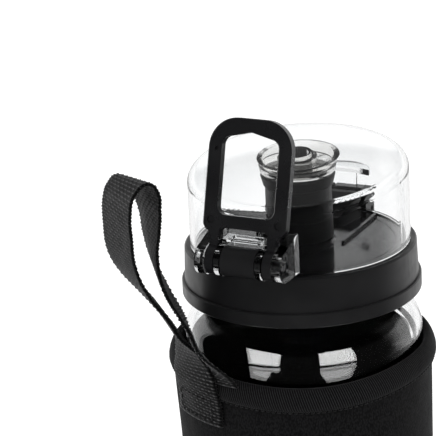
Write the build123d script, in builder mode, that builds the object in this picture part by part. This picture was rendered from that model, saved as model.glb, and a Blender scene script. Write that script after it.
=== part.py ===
from build123d import *
import math
import os

os.makedirs("parts", exist_ok=True)

# ---------------------------------------------------------------
# Driving sizes, millimetres.  +Z up, origin at the centre of the
# sleeve's underside, lid hinge towards -Y, latch towards +Y.
# ---------------------------------------------------------------

# Overall
BODY_R = 35.0                       # outside radius of bottle and lid band
SEAM_Z = 218.0                      # height of the step round the lid

# Bottle
BOTTLE_WALL = 2.0
BOTTLE_BASE_Z = 2.8                 # underside of the bottle
BASE_CORNER_R = 5.0
SHOULDER_R = 11.5
SHOULDER_TOP_Z = SEAM_Z - 6.0
NECK_R = BODY_R - 13.3              # thread root
NECK_BORE_R = NECK_R - 2.2
MOUTH_Z = SEAM_Z + 7.0

# Screw thread
PITCH = 6.0
RIDGE_BASE_W = 2.2
RIDGE_CREST_W = 0.9
RIDGE_H = 1.3
MALE_TURNS = 1.25
FEMALE_TURNS = 1.0
MALE_START_Z = SEAM_Z - 3.0
RIDGE_DROP = 2.6                    # female ridge below the male one

# Lid
BAND_H = 4.3
BAND_BOTTOM_Z = SEAM_Z - BAND_H
COLLAR_R = BODY_R - 0.8
RIM_R = BODY_R - 1.2
RIM_Z = SEAM_Z + 10.3
DECK_R = BODY_R - 3.9
DECK_TOP_Z = RIM_Z - 0.15
DECK_UNDER_Z = SEAM_Z + 8.5
SKIRT_BORE_R = NECK_R + 1.8
SKIRT_WALL = 2.3
COLLAR_INNER_R = BODY_R - 2.4
LEDGE_R = BODY_R - 6.5
DECK_GAP = 0.3                      # ring groove between deck and rim

# Gasket in the lid
GASKET_T = 1.4

# Spout
SPOUT_R = 9.8
SPOUT_BORE_R = 7.6
SPOUT_TOP_Z = SEAM_Z + 30.2
SPOUT_FLARE_Z = SEAM_Z + 26.6
SPOUT_LIP_R = 10.8

# Ramp and drip rib on the deck
RAMP_TIP_Y = 11.8
RAMP_HALF_W = 7.2
RAMP_BACK_Y = DECK_R - 2.4
RAMP_H = 6.2
RIB_X = 13.4
RIB_W = 0.9
RIB_H = 0.9

# Clear flip cover
DOME_WALL = 1.3
DOME_R = BODY_R - 2.9
DOME_BASE_Z = RIM_Z + 0.3
DOME_TOP_Z = SEAM_Z + 37.2          # on the axis
CROWN_TILT = 5.7                    # roof is lower on the hinge side
CROWN_SPHERE_R = 128.0
CROWN_FILLET = 3.4
PLUG_PEG_R = 4.2

# Hinge shared by cover and carry loop
HINGE_Y = -(BODY_R + 3.1)
HINGE_Z = SEAM_Z + 16.0
KNUCKLE_R = 4.4
EYE_R = 4.2
BARREL_HALF = 5.2
SIDE_GAP = 0.3
INNER_EAR_W = 1.7
EYE_W = 2.6
OUTER_EAR_W = 2.7
PIN_R = 1.5
PIN_CLEARANCE = 0.08
GUSSET_TOP_Z = SEAM_Z + 23.0

# Carry loop
LOOP_LEAN = 16.0                    # degrees from upright
LOOP_T = 3.1
LOOP_HALF_W = 12.7
LOOP_TOP = 40.0
BAR_LOW = 9.1
BAR_HIGH = 12.7
LOOP_INNER_HALF = 8.7
LOOP_INNER_TOP = 35.4

# Rear latch
LATCH_HALF = 4.9
HOUSING_HALF = 7.6
HOUSING_BACK_Y = BODY_R + 5.6
HOUSING_FRONT_Y = BODY_R - 2.0
HOUSING_TOP_Z = SEAM_Z + 15.6
HOUSING_LOW_Z = SEAM_Z + 1.6
LATCH_PIVOT_Y = BODY_R + 3.3
LATCH_PIVOT_Z = SEAM_Z + 8.4
LATCH_PIN_R = 0.9
TAB_Z = SEAM_Z + 21.0

# Sleeve
SLEEVE_GAP = 0.3
SLEEVE_IN_R = BODY_R + SLEEVE_GAP
SLEEVE_T = 2.0
SLEEVE_OUT_R = SLEEVE_IN_R + SLEEVE_T
SLEEVE_TOP_Z = SEAM_Z - 22.0
BINDING_H = 6.4
BINDING_R = SLEEVE_OUT_R + 0.6
SLEEVE_BASE_T = 2.4
FIT_GAP = 0.15                      # between sewn parts

# Wrist strap
STRAP_ANGLE = -35.0                 # degrees round from the hinge side
STRAP_W = 20.0
STRAP_T = 1.3
PATCH_R = BINDING_R + FIT_GAP
PATCH_LOW_Z = SEAM_Z - 35.5

OUTER_EAR_X = BARREL_HALF + 3 * SIDE_GAP + INNER_EAR_W + EYE_W
EYE_X = BARREL_HALF + 2 * SIDE_GAP + INNER_EAR_W
INNER_EAR_X = BARREL_HALF + SIDE_GAP
HINGE_HALF = OUTER_EAR_X + OUTER_EAR_W


def side_plane(x):
    """Plane across the hinge at a distance x; local x is +Y and local y is +Z."""
    return Plane(origin=(x, 0, 0), x_dir=(0, 1, 0), z_dir=(1, 0, 0))


def helix_ridge(radius, start_z, turns, start_angle, depth, base_w, crest_w):
    """One screw ridge: depth is outward when positive and inward when negative."""
    a = math.radians(start_angle)
    frame = Plane(
        origin=(0, 0, start_z),
        x_dir=(math.cos(a), math.sin(a), 0),
        z_dir=(0, 0, 1),
    )
    with BuildPart() as ridge:
        with BuildLine(frame) as path:
            Helix(pitch=PITCH, height=PITCH * turns, radius=radius)
        begin = path.line @ 0
        section = Plane(
            origin=begin,
            x_dir=(math.cos(a), math.sin(a), 0),
            z_dir=path.line % 0,
        )
        root = -0.3 if depth > 0 else 0.3
        with BuildSketch(section):
            with BuildLine():
                Polyline(
                    (root, -base_w / 2),
                    (depth, -crest_w / 2),
                    (depth, crest_w / 2),
                    (root, base_w / 2),
                    close=True,
                )
            make_face()
        sweep(is_frenet=True)
    return ridge.part


def ring_solid(inner_r, outer_r, low_z, high_z):
    """Plain ring about the Z axis."""
    with BuildPart() as ring:
        with BuildSketch(Plane.XY.offset(low_z)):
            Circle(outer_r)
            Circle(inner_r, mode=Mode.SUBTRACT)
        extrude(amount=high_z - low_z)
    return ring.part


# ---------------------------------------------------------------
# Bottle
# ---------------------------------------------------------------
SHOULDER_C_R = BODY_R - SHOULDER_R
SHOULDER_C_Z = SHOULDER_TOP_Z - SHOULDER_R
INNER_SHOULDER_R = SHOULDER_R - BOTTLE_WALL
COS45 = math.cos(math.radians(45))
male_ridge = helix_ridge(
    NECK_R, MALE_START_Z, MALE_TURNS, 0, RIDGE_H, RIDGE_BASE_W, RIDGE_CREST_W
)

with BuildPart() as bottle_body:
    with BuildSketch(Plane.XZ):
        with BuildLine():
            floor_z = BOTTLE_BASE_Z + 2.4
            in_r = BODY_R - BOTTLE_WALL
            in_corner = BASE_CORNER_R - 1.0
            Line((0, BOTTLE_BASE_Z + 1.0), (BODY_R * 0.55, BOTTLE_BASE_Z + 1.0))
            Line((BODY_R * 0.55, BOTTLE_BASE_Z + 1.0), (BODY_R * 0.63, BOTTLE_BASE_Z))
            Line((BODY_R * 0.63, BOTTLE_BASE_Z), (BODY_R - BASE_CORNER_R, BOTTLE_BASE_Z))
            ThreePointArc(
                (BODY_R - BASE_CORNER_R, BOTTLE_BASE_Z),
                (
                    BODY_R - BASE_CORNER_R * (1 - COS45),
                    BOTTLE_BASE_Z + BASE_CORNER_R * (1 - COS45),
                ),
                (BODY_R, BOTTLE_BASE_Z + BASE_CORNER_R),
            )
            Line((BODY_R, BOTTLE_BASE_Z + BASE_CORNER_R), (BODY_R, SHOULDER_C_Z))
            ThreePointArc(
                (BODY_R, SHOULDER_C_Z),
                (
                    SHOULDER_C_R + SHOULDER_R * COS45,
                    SHOULDER_C_Z + SHOULDER_R * COS45,
                ),
                (SHOULDER_C_R, SHOULDER_TOP_Z),
            )
            Line((SHOULDER_C_R, SHOULDER_TOP_Z), (NECK_R + 1.2, SHOULDER_TOP_Z + 0.1))
            Line((NECK_R + 1.2, SHOULDER_TOP_Z + 0.1), (NECK_R, SHOULDER_TOP_Z + 1.2))
            Line((NECK_R, SHOULDER_TOP_Z + 1.2), (NECK_R, MOUTH_Z - 0.6))
            Line((NECK_R, MOUTH_Z - 0.6), (NECK_R - 0.6, MOUTH_Z))
            Line((NECK_R - 0.6, MOUTH_Z), (NECK_BORE_R + 0.4, MOUTH_Z))
            Line((NECK_BORE_R + 0.4, MOUTH_Z), (NECK_BORE_R, MOUTH_Z - 0.4))
            Line((NECK_BORE_R, MOUTH_Z - 0.4), (NECK_BORE_R, SHOULDER_TOP_Z - 0.4))
            Line(
                (NECK_BORE_R, SHOULDER_TOP_Z - 0.4),
                (SHOULDER_C_R, SHOULDER_C_Z + INNER_SHOULDER_R),
            )
            ThreePointArc(
                (SHOULDER_C_R, SHOULDER_C_Z + INNER_SHOULDER_R),
                (
                    SHOULDER_C_R + INNER_SHOULDER_R * COS45,
                    SHOULDER_C_Z + INNER_SHOULDER_R * COS45,
                ),
                (in_r, SHOULDER_C_Z),
            )
            Line((in_r, SHOULDER_C_Z), (in_r, floor_z + in_corner))
            ThreePointArc(
                (in_r, floor_z + in_corner),
                (in_r - in_corner * (1 - COS45), floor_z + in_corner * (1 - COS45)),
                (in_r - in_corner, floor_z),
            )
            Line((in_r - in_corner, floor_z), (0, floor_z))
            Line((0, floor_z), (0, BOTTLE_BASE_Z + 1.0))
        make_face()
    revolve(axis=Axis.Z)
    add(male_ridge)
bottle_body.part.label = "bottle_body"
export_step(bottle_body.part, "parts/bottle_body.step")

# ---------------------------------------------------------------
# Neck gasket, carried by the lid
# ---------------------------------------------------------------
with BuildPart() as neck_gasket:
    with BuildSketch(Plane.XY.offset(DECK_UNDER_Z - 0.05 - GASKET_T)):
        Circle(SKIRT_BORE_R - 0.3)
        Circle(NECK_BORE_R + 0.1, mode=Mode.SUBTRACT)
    extrude(amount=GASKET_T)
neck_gasket.part.label = "neck_gasket"
export_step(neck_gasket.part, "parts/neck_gasket.step")

# ---------------------------------------------------------------
# Satin collar: outer shell, hinge barrel and latch housing
# ---------------------------------------------------------------
with BuildPart() as lid_collar:
    with BuildSketch(Plane.XZ):
        with BuildLine():
            Polyline(
                (COLLAR_INNER_R, BAND_BOTTOM_Z),
                (BODY_R - 0.4, BAND_BOTTOM_Z),
                (BODY_R, BAND_BOTTOM_Z + 0.4),
                (BODY_R, SEAM_Z - 0.3),
                (BODY_R - 0.3, SEAM_Z),
                (COLLAR_R, SEAM_Z + 0.05),
                (RIM_R, RIM_Z - 0.5),
                (RIM_R - 0.5, RIM_Z),
                (DECK_R + DECK_GAP, RIM_Z),
                (DECK_R + DECK_GAP, DECK_UNDER_Z),
                (LEDGE_R, DECK_UNDER_Z),
                (LEDGE_R, DECK_UNDER_Z - 1.5),
                (COLLAR_INNER_R - 0.4, DECK_UNDER_Z - 1.5),
                (COLLAR_INNER_R, DECK_UNDER_Z - 1.9),
                close=True,
            )
        make_face()
    revolve(axis=Axis.Z)
    # hinge barrel and the web that carries it
    with BuildSketch(side_plane(-BARREL_HALF)):
        with Locations((HINGE_Y, HINGE_Z)):
            Circle(KNUCKLE_R)
        with BuildLine():
            Polyline(
                (-RIM_R + 1.0, RIM_Z - 0.6),
                (-RIM_R - 0.1, RIM_Z - 0.6),
                (-RIM_R - 0.5, RIM_Z + 0.4),
                (HINGE_Y + KNUCKLE_R * 0.1, HINGE_Z - KNUCKLE_R * 0.9),
                (HINGE_Y + KNUCKLE_R * 0.8, HINGE_Z - KNUCKLE_R * 0.3),
                close=True,
            )
        make_face()
    extrude(amount=2 * BARREL_HALF)
    with BuildSketch(side_plane(-BARREL_HALF)):
        with Locations((HINGE_Y, HINGE_Z)):
            Circle(PIN_R + PIN_CLEARANCE)
    extrude(amount=2 * BARREL_HALF, mode=Mode.SUBTRACT)
    # latch housing with a slot for the button
    with BuildSketch(side_plane(-HOUSING_HALF)):
        with BuildLine():
            Polyline(
                (BODY_R - 2.2, HOUSING_LOW_Z + 1.0),
                (HOUSING_BACK_Y - 2.4, HOUSING_LOW_Z),
                (HOUSING_BACK_Y, HOUSING_LOW_Z + 2.4),
                (HOUSING_BACK_Y, HOUSING_TOP_Z - 3.4),
                (HOUSING_BACK_Y - 3.2, HOUSING_TOP_Z),
                (HOUSING_FRONT_Y + 0.6, HOUSING_TOP_Z),
                (HOUSING_FRONT_Y, HOUSING_TOP_Z - 0.6),
                (HOUSING_FRONT_Y, RIM_Z - 0.8),
                (BODY_R - 2.2, RIM_Z - 0.8),
                close=True,
            )
        make_face()
    extrude(amount=2 * HOUSING_HALF)
    with BuildSketch(side_plane(-LATCH_HALF - SIDE_GAP)):
        with BuildLine():
            Polyline(
                (COLLAR_R + 0.6, HOUSING_LOW_Z - 1.0),
                (HOUSING_BACK_Y + 1.0, HOUSING_LOW_Z - 1.0),
                (HOUSING_BACK_Y + 1.0, HOUSING_TOP_Z + 1.0),
                (HOUSING_FRONT_Y - 0.5, HOUSING_TOP_Z + 1.0),
                (HOUSING_FRONT_Y - 0.5, RIM_Z + 0.4),
                (COLLAR_R + 0.6, RIM_Z + 0.4),
                close=True,
            )
        make_face()
    extrude(amount=2 * (LATCH_HALF + SIDE_GAP), mode=Mode.SUBTRACT)
    with BuildSketch(side_plane(-HOUSING_HALF)):
        with Locations((LATCH_PIVOT_Y, LATCH_PIVOT_Z)):
            Circle(LATCH_PIN_R + PIN_CLEARANCE)
    extrude(amount=2 * HOUSING_HALF, mode=Mode.SUBTRACT)
lid_collar.part.label = "lid_collar"
export_step(lid_collar.part, "parts/lid_collar.step")

# ---------------------------------------------------------------
# Glossy deck: disc, drinking spout, threaded skirt, ramp and rib
# ---------------------------------------------------------------
female_ridge = helix_ridge(
    SKIRT_BORE_R,
    MALE_START_Z - RIDGE_DROP + PITCH * 0.5,
    FEMALE_TURNS,
    180,
    -(SKIRT_BORE_R - NECK_R - 0.45),
    RIDGE_BASE_W,
    RIDGE_CREST_W,
)

with BuildPart() as ramp_block:
    with BuildSketch(side_plane(-RAMP_HALF_W)):
        with BuildLine():
            Polyline(
                (RAMP_TIP_Y, DECK_TOP_Z - 0.3),
                (RAMP_BACK_Y, DECK_TOP_Z - 0.3),
                (RAMP_BACK_Y, DECK_TOP_Z + RAMP_H),
                (RAMP_BACK_Y - 2.0, DECK_TOP_Z + RAMP_H),
                (RAMP_TIP_Y + 6.0, DECK_TOP_Z + 1.8),
                (RAMP_TIP_Y, DECK_TOP_Z + 0.5),
                close=True,
            )
        make_face()
    extrude(amount=2 * RAMP_HALF_W)
    with BuildSketch(Plane.XY.offset(DECK_TOP_Z - 1)):
        with BuildLine():
            Spline(
                (0, RAMP_TIP_Y),
                (RAMP_HALF_W * 0.72, RAMP_TIP_Y + 7.0),
                (RAMP_HALF_W, RAMP_BACK_Y + 2),
                tangents=((0.95, 0.3), (0, 1)),
            )
            Line((RAMP_HALF_W, RAMP_BACK_Y + 2), (-RAMP_HALF_W, RAMP_BACK_Y + 2))
            Spline(
                (-RAMP_HALF_W, RAMP_BACK_Y + 2),
                (-RAMP_HALF_W * 0.72, RAMP_TIP_Y + 7.0),
                (0, RAMP_TIP_Y),
                tangents=((0, -1), (0.95, -0.3)),
            )
        make_face()
    extrude(amount=RAMP_H + 3, mode=Mode.INTERSECT)

with BuildPart() as rib_block:
    with BuildSketch(Plane.XY.offset(DECK_TOP_Z - 0.3)):
        with Locations((0, DECK_R / 2)):
            SlotOverall(2.6 * DECK_R, 2 * RIB_X, rotation=90)
        with Locations((0, DECK_R / 2)):
            SlotOverall(
                2.6 * DECK_R - 2 * RIB_W,
                2 * (RIB_X - RIB_W),
                rotation=90,
                mode=Mode.SUBTRACT,
            )
    extrude(amount=RIB_H + 0.3)

# the rib runs in front of the latch and stops at the deck's edge
with BuildPart() as deck_rib:
    add(rib_block.part)
    with BuildSketch(Plane.XY.offset(DECK_TOP_Z - 0.5)):
        Circle(DECK_R - 1.0)
    extrude(amount=2 * RIB_H, mode=Mode.INTERSECT)
    with BuildSketch(Plane.XY.offset(DECK_TOP_Z - 1.0)):
        with Locations((0, -DECK_R + 1.0)):
            Rectangle(3 * DECK_R, 2 * DECK_R)
    extrude(amount=3 * RIB_H, mode=Mode.SUBTRACT)

skirt_out = SKIRT_BORE_R + SKIRT_WALL

with BuildPart() as lid_deck:
    with BuildSketch(Plane.XZ):
        with BuildLine():
            Polyline(
                (SPOUT_BORE_R, DECK_UNDER_Z),
                (SKIRT_BORE_R, DECK_UNDER_Z),
                (SKIRT_BORE_R, BAND_BOTTOM_Z + 0.2),
                (skirt_out - 0.3, BAND_BOTTOM_Z + 0.2),
                (skirt_out, BAND_BOTTOM_Z + 0.5),
                (skirt_out, DECK_UNDER_Z),
                (DECK_R, DECK_UNDER_Z),
                (DECK_R, DECK_TOP_Z - 0.2),
                (DECK_R - 0.2, DECK_TOP_Z),
                (DECK_R - 3.3, DECK_TOP_Z),
                (DECK_R - 3.45, DECK_TOP_Z - 0.15),
                (DECK_R - 3.6, DECK_TOP_Z),
                (SPOUT_R + 0.6, DECK_TOP_Z),
                (SPOUT_R, DECK_TOP_Z + 0.6),
                (SPOUT_R - 0.1, SEAM_Z + 17.8),
                (SPOUT_R + 0.1, SEAM_Z + 18.1),
                (SPOUT_R - 0.15, SEAM_Z + 18.4),
                (SPOUT_R - 0.2, SPOUT_FLARE_Z),
                (SPOUT_R + 0.3, SPOUT_FLARE_Z + 0.5),
                (SPOUT_LIP_R, SPOUT_TOP_Z - 0.5),
                (SPOUT_LIP_R - 0.5, SPOUT_TOP_Z),
                (SPOUT_BORE_R + 0.5, SPOUT_TOP_Z),
                (SPOUT_BORE_R, SPOUT_TOP_Z - 0.5),
                close=True,
            )
        make_face()
    revolve(axis=Axis.Z)
    add(female_ridge)
    add(ramp_block.part)
    add(deck_rib.part)
lid_deck.part.label = "lid_deck"
export_step(lid_deck.part, "parts/lid_deck.step")

# ---------------------------------------------------------------
# Clear flip cover with a sloping roof
# ---------------------------------------------------------------
TILT = math.radians(CROWN_TILT)


def cover_block(inset, top_z, corner_r):
    """Cup closed by a shallow sphere whose axis leans with the roof."""
    centre = (
        0,
        CROWN_SPHERE_R * math.sin(TILT),
        top_z - CROWN_SPHERE_R * math.cos(TILT),
    )
    with BuildPart() as block:
        with BuildSketch(Plane.XY.offset(DOME_BASE_Z)):
            Circle(DOME_R - inset)
        extrude(amount=1.6 * (top_z - DOME_BASE_Z))
        with Locations(centre):
            Sphere(CROWN_SPHERE_R, mode=Mode.INTERSECT)
        rim_edges = block.edges().filter_by(lambda e: e.center().Z > DOME_BASE_Z + 5)
        rim_edges = rim_edges.filter_by(lambda e: e.length > BODY_R)
        fillet(rim_edges, radius=corner_r)
    return block.part


outer_block = cover_block(0.0, DOME_TOP_Z, CROWN_FILLET)
inner_block = cover_block(
    DOME_WALL, DOME_TOP_Z - DOME_WALL, CROWN_FILLET - DOME_WALL
)
WALL_Y = -(DOME_R - 0.6)


def cover_ear(x, width, top_z, back_y):
    """Hinge ear with a gusset that runs back into the cover's wall."""
    with BuildPart() as ear:
        with BuildSketch(side_plane(x)):
            with Locations((HINGE_Y, HINGE_Z)):
                Circle(KNUCKLE_R)
            with BuildLine():
                Polyline(
                    (HINGE_Y, HINGE_Z - KNUCKLE_R),
                    (back_y, HINGE_Z - KNUCKLE_R),
                    (back_y, top_z),
                    (HINGE_Y + 7.4, top_z),
                    (HINGE_Y - KNUCKLE_R * 0.55, HINGE_Z + KNUCKLE_R * 0.835),
                    close=True,
                )
            make_face()
        extrude(amount=width)
    return ear.part


with BuildPart() as thumb_tab:
    with BuildSketch(Plane.XY.offset(TAB_Z)):
        with BuildLine():
            tab_in = DOME_R - 4.0
            tab_out = BODY_R + 2.6
            Spline(
                (-9.4, tab_in),
                (-5.2, tab_out - 1.2),
                (0, tab_out),
                (5.2, tab_out - 1.2),
                (9.4, tab_in),
            )
            Line((9.4, tab_in), (-9.4, tab_in))
        make_face()
    extrude(amount=1.7)

with BuildPart() as catch_block:
    with BuildSketch(side_plane(-LATCH_HALF + 0.3)):
        with BuildLine():
            Polyline(
                (DOME_R - 3.0, TAB_Z + 0.8),
                (DOME_R - 3.0, TAB_Z - 8.4),
                (DOME_R + 0.5, TAB_Z - 8.4),
                (DOME_R + 1.6, TAB_Z - 7.2),
                (DOME_R + 1.6, TAB_Z - 6.0),
                (DOME_R + 0.4, TAB_Z - 4.6),
                (DOME_R + 0.4, TAB_Z + 0.8),
                close=True,
            )
        make_face()
    extrude(amount=2 * LATCH_HALF - 0.6)

with BuildPart() as dome_cover:
    add(outer_block)
    for side in (-1, 1):
        near = OUTER_EAR_X if side > 0 else -OUTER_EAR_X - OUTER_EAR_W
        add(cover_ear(near, OUTER_EAR_W, GUSSET_TOP_Z, WALL_Y + 7.0))
        near = INNER_EAR_X if side > 0 else -INNER_EAR_X - INNER_EAR_W
        add(cover_ear(near, INNER_EAR_W, GUSSET_TOP_Z - 2.2, WALL_Y + 3.0))
    # sloping bridge over the barrel, with a raised frame on the wall
    with BuildSketch(side_plane(-INNER_EAR_X - INNER_EAR_W)):
        with BuildLine():
            Polyline(
                (WALL_Y + 3.0, HINGE_Z + KNUCKLE_R + 0.7),
                (HINGE_Y + 1.4, HINGE_Z + KNUCKLE_R + 0.7),
                (HINGE_Y + 1.4, HINGE_Z + KNUCKLE_R + 1.3),
                (WALL_Y - 1.0, GUSSET_TOP_Z - 1.0),
                (WALL_Y - 1.0, GUSSET_TOP_Z + 2.2),
                (WALL_Y + 3.0, GUSSET_TOP_Z + 2.2),
                close=True,
            )
        make_face()
    extrude(amount=2 * (INNER_EAR_X + INNER_EAR_W))
    add(thumb_tab.part)
    add(catch_block.part)
    add(inner_block, mode=Mode.SUBTRACT)
    # window pocket over the barrel
    slope_low = Vector(0, HINGE_Y + 1.4, HINGE_Z + KNUCKLE_R + 1.3)
    slope_high = Vector(0, WALL_Y - 1.0, GUSSET_TOP_Z - 1.0)
    slope_up = (slope_high - slope_low).normalized()
    slope_out = Vector(1, 0, 0).cross(slope_up)
    pocket = Plane(
        origin=(slope_low + slope_high) * 0.5,
        x_dir=(1, 0, 0),
        z_dir=slope_out,
    )
    with BuildSketch(pocket):
        RectangleRounded(2 * BARREL_HALF - 0.8, 2.6, 1.0)
    extrude(amount=-0.8, mode=Mode.SUBTRACT)
    # pin bores
    with BuildSketch(side_plane(-HINGE_HALF)):
        with Locations((HINGE_Y, HINGE_Z)):
            Circle(PIN_R + PIN_CLEARANCE)
    extrude(amount=2 * HINGE_HALF, mode=Mode.SUBTRACT)
    # boss that carries the spout plug
    under = DOME_TOP_Z - DOME_WALL
    with BuildSketch(Plane.XY.offset(SPOUT_TOP_Z + 1.6)):
        Circle(PLUG_PEG_R)
    extrude(amount=under - SPOUT_TOP_Z - 1.6 + 0.6)
dome_cover.part.label = "dome_cover"
export_step(dome_cover.part, "parts/dome_cover.step")

# ---------------------------------------------------------------
# Soft plug pushed on the cover's boss
# ---------------------------------------------------------------
PLUG_LOW_Z = SPOUT_TOP_Z + 0.3
PLUG_TOP_Z = DOME_TOP_Z - DOME_WALL - 0.5
roof_slope = math.tan(TILT)

with BuildPart() as spout_plug:
    with BuildSketch(Plane.XZ):
        with BuildLine():
            Polyline(
                (0, PLUG_LOW_Z - 1.4),
                (SPOUT_BORE_R - 1.7, PLUG_LOW_Z - 1.4),
                (SPOUT_BORE_R - 1.0, PLUG_LOW_Z),
                (SPOUT_LIP_R - 0.3, PLUG_LOW_Z),
                (SPOUT_LIP_R + 0.1, PLUG_LOW_Z + 0.5),
                (SPOUT_LIP_R + 0.4, PLUG_LOW_Z + 2.2),
                (SPOUT_LIP_R + 0.1, PLUG_LOW_Z + 2.6),
                (SPOUT_LIP_R + 1.4, PLUG_TOP_Z - 0.3),
                (SPOUT_LIP_R + 1.2, PLUG_TOP_Z + 1.4),
                (SPOUT_LIP_R + 0.2, PLUG_TOP_Z + 1.4),
                (SPOUT_LIP_R - 1.4, PLUG_LOW_Z + 1.2),
                (PLUG_PEG_R + 1.5, PLUG_LOW_Z + 1.2),
                (PLUG_PEG_R + 1.5, PLUG_TOP_Z + 1.4),
                (PLUG_PEG_R + 0.1, PLUG_TOP_Z + 1.4),
                (PLUG_PEG_R + 0.1, PLUG_LOW_Z + 1.2),
                (0, PLUG_LOW_Z + 1.2),
                close=True,
            )
        make_face()
    revolve(axis=Axis.Z)
    # trimmed along the sloping roof
    with BuildSketch(Plane.YZ.offset(-2 * SPOUT_R)):
        with BuildLine():
            half = 2 * SPOUT_R
            Polyline(
                (-half, PLUG_TOP_Z - 0.7 - half * roof_slope),
                (half, PLUG_TOP_Z - 0.7 + half * roof_slope),
                (half, PLUG_TOP_Z + half),
                (-half, PLUG_TOP_Z + half),
                close=True,
            )
        make_face()
    extrude(amount=4 * SPOUT_R, mode=Mode.SUBTRACT)
spout_plug.part.label = "spout_plug"
export_step(spout_plug.part, "parts/spout_plug.step")

# ---------------------------------------------------------------
# Hinge pin
# ---------------------------------------------------------------
PIN_HALF = HINGE_HALF - 0.6
with BuildPart() as hinge_pin:
    with BuildSketch(side_plane(-PIN_HALF)):
        with Locations((HINGE_Y, HINGE_Z)):
            Circle(PIN_R)
    extrude(amount=2 * PIN_HALF)
    chamfer(hinge_pin.edges().filter_by(GeomType.CIRCLE), length=0.3)
hinge_pin.part.label = "hinge_pin"
export_step(hinge_pin.part, "parts/hinge_pin.step")

# ---------------------------------------------------------------
# Carry loop, leaning on the cover
# ---------------------------------------------------------------
LEAN = math.radians(LOOP_LEAN)
loop_plane = Plane(
    origin=(0, HINGE_Y, HINGE_Z),
    x_dir=(1, 0, 0),
    z_dir=(0, -math.cos(LEAN), math.sin(LEAN)),
)
LEG_OUT = EYE_X + EYE_W
with BuildPart() as carry_loop:
    with BuildSketch(loop_plane.offset(-LOOP_T / 2)):
        with BuildLine():
            FilletPolyline(
                (-LOOP_HALF_W, BAR_LOW + 1.0),
                (-LOOP_HALF_W, LOOP_TOP),
                (LOOP_HALF_W, LOOP_TOP),
                (LOOP_HALF_W, BAR_LOW + 1.0),
                radius=8.6,
            )
            Polyline(
                (LOOP_HALF_W, BAR_LOW + 1.0),
                (LOOP_HALF_W - 1.0, BAR_LOW - 0.6),
                (LEG_OUT + 0.4, BAR_LOW - 1.2),
                (LEG_OUT, BAR_LOW - 2.0),
                (LEG_OUT, 0),
                (-LEG_OUT, 0),
                (-LEG_OUT, BAR_LOW - 2.0),
                (-LEG_OUT - 0.4, BAR_LOW - 1.2),
                (-LOOP_HALF_W + 1.0, BAR_LOW - 0.6),
                (-LOOP_HALF_W, BAR_LOW + 1.0),
            )
        make_face()
    extrude(amount=LOOP_T)
    # window in the loop
    with BuildSketch(loop_plane.offset(-LOOP_T / 2)) as window:
        with BuildLine():
            Polyline(
                (LOOP_INNER_HALF, BAR_HIGH),
                (LOOP_INNER_HALF, LOOP_INNER_TOP - 1.2),
                (0, LOOP_INNER_TOP + 0.8),
                (-LOOP_INNER_HALF, LOOP_INNER_TOP - 1.2),
                (-LOOP_INNER_HALF, BAR_HIGH),
                close=True,
            )
        make_face()
        fillet(window.vertices(), radius=2.6)
    extrude(amount=LOOP_T, mode=Mode.SUBTRACT)
    # gap between the legs
    with BuildSketch(loop_plane.offset(-LOOP_T / 2)):
        with Locations((0, BAR_LOW / 2 - 1)):
            RectangleRounded(2 * EYE_X, BAR_LOW + 2, 1.2)
    extrude(amount=LOOP_T, mode=Mode.SUBTRACT)
    chamfer(carry_loop.edges().filter_by(lambda e: e.length > 14), length=0.35)
    # eyes round the pin
    for x in (EYE_X, -LEG_OUT):
        with BuildSketch(side_plane(x)):
            with Locations((HINGE_Y, HINGE_Z)):
                Circle(EYE_R)
        extrude(amount=EYE_W)
    with BuildSketch(side_plane(-LEG_OUT)):
        with Locations((HINGE_Y, HINGE_Z)):
            Circle(PIN_R + PIN_CLEARANCE)
    extrude(amount=2 * LEG_OUT, mode=Mode.SUBTRACT)
    # dimples at the corners and shallow panels along the sides
    with BuildSketch(loop_plane.offset(LOOP_T / 2)):
        with Locations((-LOOP_HALF_W + 2.4, BAR_LOW + 2.0), (LOOP_HALF_W - 2.4, BAR_LOW + 2.0)):
            Circle(1.1)
        with Locations((-LOOP_HALF_W + 2.7, LOOP_TOP - 9.0)):
            Circle(0.6)
    extrude(amount=-0.5, mode=Mode.SUBTRACT)
carry_loop.part.label = "carry_loop"
export_step(carry_loop.part, "parts/carry_loop.step")

# ---------------------------------------------------------------
# Latch button and its pin
# ---------------------------------------------------------------
with BuildPart() as latch_button:
    with BuildSketch(side_plane(-LATCH_HALF)):
        with BuildLine():
            Polyline(
                (LATCH_PIVOT_Y - 1.7, HOUSING_LOW_Z + 1.6),
                (HOUSING_BACK_Y - 0.6, HOUSING_LOW_Z + 1.6),
                (HOUSING_BACK_Y - 0.2, HOUSING_LOW_Z + 2.4),
                (HOUSING_BACK_Y - 0.4, LATCH_PIVOT_Z + 2.0),
                (LATCH_PIVOT_Y + 0.6, HOUSING_TOP_Z - 0.4),
                (LATCH_PIVOT_Y - 2.4, HOUSING_TOP_Z - 0.4),
                (LATCH_PIVOT_Y - 2.8, HOUSING_TOP_Z - 1.4),
                (LATCH_PIVOT_Y - 1.4, HOUSING_TOP_Z - 2.6),
                (LATCH_PIVOT_Y - 1.4, LATCH_PIVOT_Z + 1.0),
                close=True,
            )
        make_face()
        with Locations((LATCH_PIVOT_Y, LATCH_PIVOT_Z)):
            Circle(LATCH_PIN_R + PIN_CLEARANCE, mode=Mode.SUBTRACT)
    extrude(amount=2 * LATCH_HALF)
latch_button.part.label = "latch_button"
export_step(latch_button.part, "parts/latch_button.step")

with BuildPart() as latch_pin:
    with BuildSketch(side_plane(-HOUSING_HALF + 0.4)):
        with Locations((LATCH_PIVOT_Y, LATCH_PIVOT_Z)):
            Circle(LATCH_PIN_R)
    extrude(amount=2 * HOUSING_HALF - 0.8)
latch_pin.part.label = "latch_pin"
export_step(latch_pin.part, "parts/latch_pin.step")

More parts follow.
